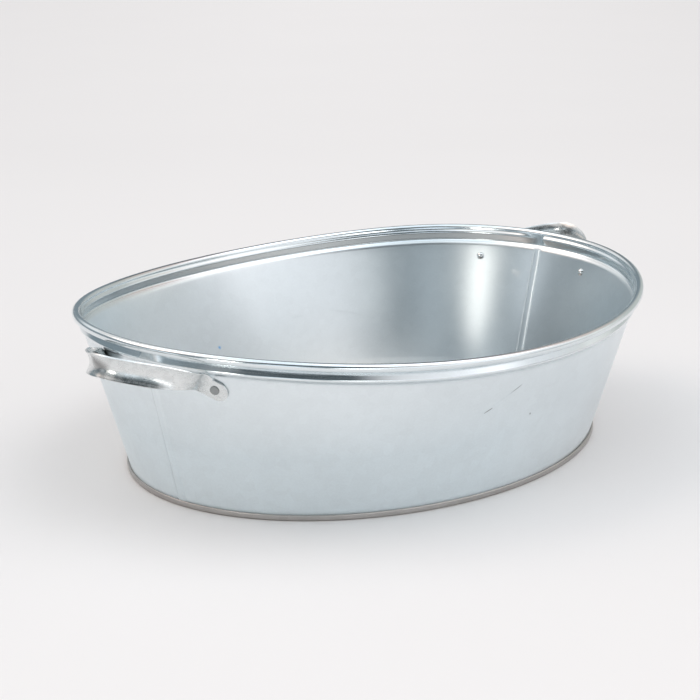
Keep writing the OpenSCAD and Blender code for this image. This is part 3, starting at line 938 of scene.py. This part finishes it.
def handle_strap(name, colours):
    """Bright zinc-plated strap, pressed hollow: glossy with mottles left by the plating."""
    zinc = Finish(name, mottles=(5, 4.0, 0.6), streaks=((14, 0.8, 1000), 3.0))
    tint = zinc.tinted(colours.strap, mottles=(STREAKY, 0.9, 1.02))
    # A darker brown-grey patch at the middle of each grip
    tint = zinc.painted_over(tint, GRIP_PATCHES, colours.grip_patch, GRIP_PATCH_STRENGTH)
    rough = zinc.mapped(PLUS, mottles=(STREAKY, 0.3, 0.17), streaks=(STREAKY, -0.02, 0.06))
    return zinc.done(tint, rough, streaks=0.012, mottles=0.07)


def rivet_zinc(name, colours):
    """Zinc on a rivet: fine pits from the header, and a gloss that varies with the blows."""
    tone, gloss = {"Flattened Rivet Head": (colours.head, 0.4),
                   "Bright Rivet Dome": (colours.dome, 0.16)}[name]
    zinc = Finish(name, pits=(0.9, 3.0), clouds=(4, 2.0))
    tint = zinc.tinted(tone, clouds=(CLOUDY, 0.9, 1.05))
    rough = zinc.mapped(PLUS, clouds=(CLOUDY, gloss, gloss + 0.1))
    return zinc.done(tint, rough, pits=0.02)


def drawn_wire(name, colours):
    """Drawn and galvanized steel wire, with fine lines left by the die."""
    zinc = Finish(name, follow_piece=True, lines=((20, 20, 0.6), 3.0))
    tint = zinc.tinted(colours.wire, lines=(CLOUDY, 0.9, 1.05))
    rough = zinc.mapped(PLUS, lines=(CLOUDY, 0.28, 0.4))
    return zinc.done(tint, rough, lines=0.01)


MAKERS = {
    "Skin Passed Galvanized Sheet": galvanized_sheet, "Rolled Rim Zinc": rolled_rim,
    "Base Zinc Sheet": base_sheet, "Bright Plated Strap": handle_strap,
    "Flattened Rivet Head": rivet_zinc, "Bright Rivet Dome": rivet_zinc,
    "Drawn Galvanized Wire": drawn_wire}


def finish_of(name):
    """The finish with this name, made when it is first asked for."""
    colours = bpy.context.scene.zinc_colours
    return bpy.data.materials.get(name) or MAKERS[name](name, colours)


# Operators

# How far the wall's columns gather at its seams, and the strap's rounded edge
GATHERING, STRAP_BEVEL = 0.8, 0.35 * MM
SWEEP_FIELDS = dict.fromkeys(("groove", "across", "trim", "shrink", "girth", "rolled"), "FLOAT")
STRAP_FIELDS = {"half": "FLOAT", "hollow": "FLOAT", "girth": "FLOAT",
                "wide": "FLOAT_VECTOR", "outward": "FLOAT_VECTOR"}


def swept_sheet(oval, tree, name, rows, finishes, **values):
    """Sweeps rows round the oval and gives the sheet its thickness and its finishes."""
    tub, rim = oval.tub, oval.rim
    piece = new_object(name, rows_mesh(name, rows, SWEEP_FIELDS))
    sheet, rolled = finishes
    smooth(run_tree(piece, tree, {
        **values, "Base Half": (*oval.base_half, 0.0), "Rim Half": (*oval.rim_half, 0.0),
        "Fullness": tub.fullness, "Height": oval.height, "Wave": oval.wave,
        "Corner": oval.corner, "Groove Fade": rim.fade, "Groove Stop": rim.stop,
        "Round End": rim.groove_end / oval.end_radius(1.0),
        "Sheet Material": finish_of(sheet), "Rolled Material": finish_of(rolled)}))
    return smooth(thicken(piece, tub.sheet))


class TUB_OT_wall(bpy.types.Operator):
    """Makes both halves of the wall with crease, bead, pressed groove and rolled rim"""
    bl_idname = "tub.wall"
    bl_label = "Wall Halves"

    def execute(self, context):
        oval = Oval(context.scene)
        tree = oval_sweep_tree()
        for name, body, start in (("wall_front", "body_front", pi),
                                  ("wall_back", "body_back", 0.0)):
            piece = swept_sheet(
                oval, tree, name, wall_rows(oval),
                ("Skin Passed Galvanized Sheet", "Rolled Rim Zinc"),
                Columns=WALL_COLUMNS, Start=start, Sweep=pi, Gathering=GATHERING)
            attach(piece, "root")
            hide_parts(body)
        return {"FINISHED"}


class TUB_OT_lock_seams(bpy.types.Operator):
    """Makes the folded lock seam at each end of the wall"""
    bl_idname = "tub.lock_seams"
    bl_label = "Lock Seams"

    def execute(self, context):
        oval = Oval(context.scene)
        for name, turned in (("lock_seam_left", True), ("lock_seam_right", False)):
            piece = thicken(new_object(name, seam_mesh(oval, name, turned)), oval.tub.sheet)
            piece.data.materials.append(finish_of("Skin Passed Galvanized Sheet"))
            smooth(piece)
            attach(piece, "root")
        return {"FINISHED"}


class TUB_OT_base_pan(bpy.types.Operator):
    """Makes the base sheet with its folded seam"""
    bl_idname = "tub.base_pan"
    bl_label = "Base Pan"

    def execute(self, context):
        oval = Oval(context.scene)
        piece = swept_sheet(
            oval, oval_sweep_tree(), "base_pan", base_rows(oval), ["Base Zinc Sheet"] * 2,
            Columns=BASE_COLUMNS, Start=0.0, Sweep=tau, Gathering=0.0)
        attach(piece, "root")
        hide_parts("base_plate")
        return {"FINISHED"}


class TUB_OT_handles(bpy.types.Operator):
    """Makes both strap handles with their ears and hollow grips"""
    bl_idname = "tub.handles"
    bl_label = "Strap Handles"

    def execute(self, context):
        scene = context.scene
        strap = Strap(scene, Oval(scene))
        tree = strap_tree()
        for name, body in (("strap_handle_left", "handle_left"),
                           ("strap_handle_right", "handle_right")):
            rows = strap.stations(body == "handle_left")
            piece = new_object(name, rows_mesh(name, rows, STRAP_FIELDS))
            smooth(run_tree(piece, tree, {
                "Points Across": STRAP_COLUMNS,
                "Strap Material": finish_of("Bright Plated Strap")}))
            smooth(thicken(piece, scene.handle_sizes.thickness, bevel=STRAP_BEVEL))
            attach(piece, "root")
            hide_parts(body)
        return {"FINISHED"}


class TUB_OT_rivets(bpy.types.Operator):
    """Sets the four rivets through the ears and the wall"""
    bl_idname = "tub.rivets"
    bl_label = "Rivets"

    def execute(self, context):
        scene = context.scene
        oval = Oval(scene)
        strap = Strap(scene, oval)
        outline = new_object("rivet_outline", rows_mesh(
            "rivet_outline", rivet_outline(scene), {}))
        rows = []
        for turn in (0.0, pi):
            spin = Matrix.Rotation(turn, 3, "Z")
            for side in (-1, 1):
                p = oval.column(side * strap.rivet_y, strap.rivet_up)
                rows.append({"at": spin @ oval.wall(p, strap.rivet_up, 0),
                             "axis": spin @ oval.direction(p, 1, 0)})
        piece = new_object("rivets", rows_mesh("rivets", rows, {"axis": "FLOAT_VECTOR"}))
        run_tree(piece, rivet_tree(), {
            "Outline": outline, "Points Around": RIVET_COLUMNS,
            "Head Material": finish_of("Flattened Rivet Head"),
            "Dome Material": finish_of("Bright Rivet Dome")})
        bpy.data.objects.remove(outline)
        smooth(piece)
        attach(piece, "root")
        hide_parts("rivet_left_front", "rivet_left_back",
                    "rivet_right_front", "rivet_right_back")
        return {"FINISHED"}


class TUB_OT_rim_wire(bpy.types.Operator):
    """Gives the wire inside the rim its finish"""
    bl_idname = "tub.rim_wire"
    bl_label = "Rim Wire Finish"

    def execute(self, context):
        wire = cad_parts["rim_wire"]
        for slot in wire.material_slots:
            slot.material = finish_of("Drawn Galvanized Wire")
        return {"FINISHED"}


# Soft boxes: angle to the right of the viewer's side, height angle, angles from the
# middle at which the box starts to fade and is gone, and its linear colour
SOFT_BOXES = (
    (0, 90, 30, 44, (0.98, 1.06, 1.12)),
    (90, 58, 16, 32, (0.95, 0.95, 0.95)),
    (90, 34, 12, 28, (0.4, 0.38, 0.38)),
    (55, 14, 12, 34, (0.8, 0.76, 0.76)),
    (100, 14, 14, 34, (0.35, 0.32, 0.31)),
    (22, 5, 4, 13, (2.4, 2.35, 2.3)),
    (-10, 4, 6, 16, (0.8, 0.85, 0.9)),
    (-70, 7, 4, 12, (0.9, 0.92, 0.95)),
    (-38, 9, 3.5, 8, (7.5, 7.1, 6.6)),
    (-98, 42, 9, 26, (1.9, 1.6, 1.45)),
    (-50, 46, 8, 22, (0.8, 0.76, 0.74)),
    (135, 50, 12, 30, (0.4, 0.3, 0.3)),
    (135, 14, 15, 40, (0.35, 0.32, 0.27)),
    (-140, 40, 14, 34, (0.8, 0.76, 0.74)),
)
# The room's own glow, and between which heights of a direction it falls to a fifth
ROOM_GLOW, CEILING = (0.22, 0.27, 0.3), (0.38, 0.5, 1.0, 0.2)
# How the floor's colour darkens with distance behind the tub and to both sides of it, a
# painted fall-off of light, its faint clouds, and how far it lies below the tub, so that no
# two faces share one place
FLOOR_BEHIND, FLOOR_ASIDE = (-0.5, 1.5, 1.0, 0.92), (0.2, 1.2, 1.0, 0.94)
FLOOR_CLOUDS, FLOOR_GAP = (0.997, 1.003), 0.05 * MM
CAMERA_AIM = Vector((0.00555, 0.0222, 0.06675))
SENSOR_WIDTH, NEAREST, FURTHEST = 36.0, 0.01, 60.0


def floor_finish(tone, ahead, right):
    """Pale matt floor with painted light: brightest in the middle near the viewer and darker
    behind and to the sides. It keeps the tub's shadow.
    """
    floor = Finish("Pale Matt Floor")
    add, place, shader = floor.add, floor.place, floor.shader
    depth, aside = [add(DOT, place, tuple(way)).outputs["Value"] for way in (ahead, right)]
    noise = add(NOISE, {"Vector": place, "Scale": 3.0, "Detail": 2.0}).outputs[0]
    # Painted fall-off of light behind the tub and to its sides, and faint clouds
    shade = joined(add, TIMES, [
        add(MAP_RANGE, depth, *FLOOR_BEHIND),
        add(MAP_RANGE, add(ABSOLUTE, aside), *FLOOR_ASIDE),
        add(MAP_RANGE, noise, *CLOUDY, *FLOOR_CLOUDS)])
    matt = add(SCALE, {0: tuple(tone), "Scale": shade}).outputs["Vector"]
    shader.inputs["Specular IOR Level"].default_value = 0.0
    shader.inputs["Roughness"].default_value = 1.0
    floor.material.node_tree.links.new(matt, shader.inputs["Base Color"])
    return floor.material


def studio_walls(ahead, right):
    """Soft boxes far away: overhead, right and left, in a dim room with a dark ceiling."""
    world = bpy.data.worlds.new("Studio Walls")
    world.use_nodes = True
    world.node_tree.nodes.clear()
    add = functools.partial(node, world.node_tree)
    way = add(COORDINATES).outputs["Generated"]
    dim = add(MAP_RANGE, add(SPLIT, way).outputs["Z"], *CEILING)
    glow = add(SCALE, {0: ROOM_GLOW, "Scale": dim})
    for *angles, tone in SOFT_BOXES:
        az, el, core, edge = map(radians, angles)
        aim = cos(el) * (sin(az) * right - cos(az) * ahead)
        aim.z = sin(el)
        dot = add(DOT, way, tuple(aim)).outputs["Value"]
        near = add(MAP_RANGE, dot, cos(edge), cos(core), 0.0, 1.0,
                   interpolation_type="SMOOTHSTEP")
        glow = add(SHIFT, glow, add(SCALE, {0: tone, "Scale": near}))
    walls = add("ShaderNodeBackground", {"Color": glow})
    add("ShaderNodeOutputWorld", {"Surface": walls})
    return world


class TUB_OT_studio(bpy.types.Operator):
    """Makes the floor, the soft boxes round it and the camera"""
    bl_idname = "tub.studio"
    bl_label = "Studio"

    def execute(self, context):
        scene, sizes = context.scene, context.scene.studio_sizes
        az, el = sizes.azimuth, sizes.elevation
        back = Vector((sin(az) * cos(el), -cos(az) * cos(el),
                       sin(el)))
        right = Vector((cos(az), sin(az), 0.0))
        ahead = Vector((-back.x, -back.y, 0.0)).normalized()
        work = bmesh.new()
        bmesh.ops.create_circle(work, cap_ends=True, radius=sizes.floor_radius, segments=96)
        for vertex in work.verts:
            vertex.co.z = -FLOOR_GAP
        mesh = mesh_of("floor", work)
        mesh.materials.append(floor_finish(sizes.floor, ahead, right))
        new_object("floor", mesh)
        scene.world = studio_walls(ahead, right)
        lens = bpy.data.cameras.new("camera")
        lens.lens, lens.sensor_width = sizes.lens, SENSOR_WIDTH
        lens.clip_start, lens.clip_end = NEAREST, FURTHEST
        camera = new_object("camera", lens)
        look = back.to_track_quat("Z", "Y").to_matrix().to_4x4()
        camera.matrix_world = (Matrix.Translation(CAMERA_AIM + sizes.distance * back)
                               @ Matrix.Rotation(sizes.roll, 4, back) @ look)
        scene.camera = camera
        scene.view_settings.view_transform = "Standard"
        return {"FINISHED"}


class TUB_PT_panel(bpy.types.Panel):
    """Lists the sizes, the colours and the operators"""
    bl_label = "Galvanized Tub"
    bl_idname = "TUB_PT_panel"
    bl_space_type = "VIEW_3D"
    bl_region_type = "UI"
    bl_category = "Tub"

    def draw(self, context):
        for name in PROPERTIES:
            box = self.layout.box()
            group = getattr(context.scene, name)
            for key in group.__annotations__:
                box.prop(group, key)
        for operator in OPERATORS:
            self.layout.operator(operator.bl_idname)


PROPERTIES = {
    "tub_sizes": TubSizes, "rim_sizes": RimSizes, "fold_sizes": FoldSizes,
    "handle_sizes": HandleSizes, "rivet_sizes": RivetSizes,
    "zinc_colours": ZincColours, "studio_sizes": StudioSizes,
}
OPERATORS = (TUB_OT_wall, TUB_OT_lock_seams, TUB_OT_base_pan, TUB_OT_handles,
             TUB_OT_rivets, TUB_OT_rim_wire, TUB_OT_studio)


def register():
    for cls in (*PROPERTIES.values(), *OPERATORS, TUB_PT_panel):
        bpy.utils.register_class(cls)
    for name, group in PROPERTIES.items():
        setattr(bpy.types.Scene, name, bpy.props.PointerProperty(type=group))


def unregister():
    for name in PROPERTIES:
        delattr(bpy.types.Scene, name)
    for cls in reversed((*PROPERTIES.values(), *OPERATORS, TUB_PT_panel)):
        bpy.utils.unregister_class(cls)


def main():
    """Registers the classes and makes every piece."""
    register()
    for operator in OPERATORS:
        group, name = operator.bl_idname.split(".")
        getattr(getattr(bpy.ops, group), name)()


if __name__ == "__main__":
    main()
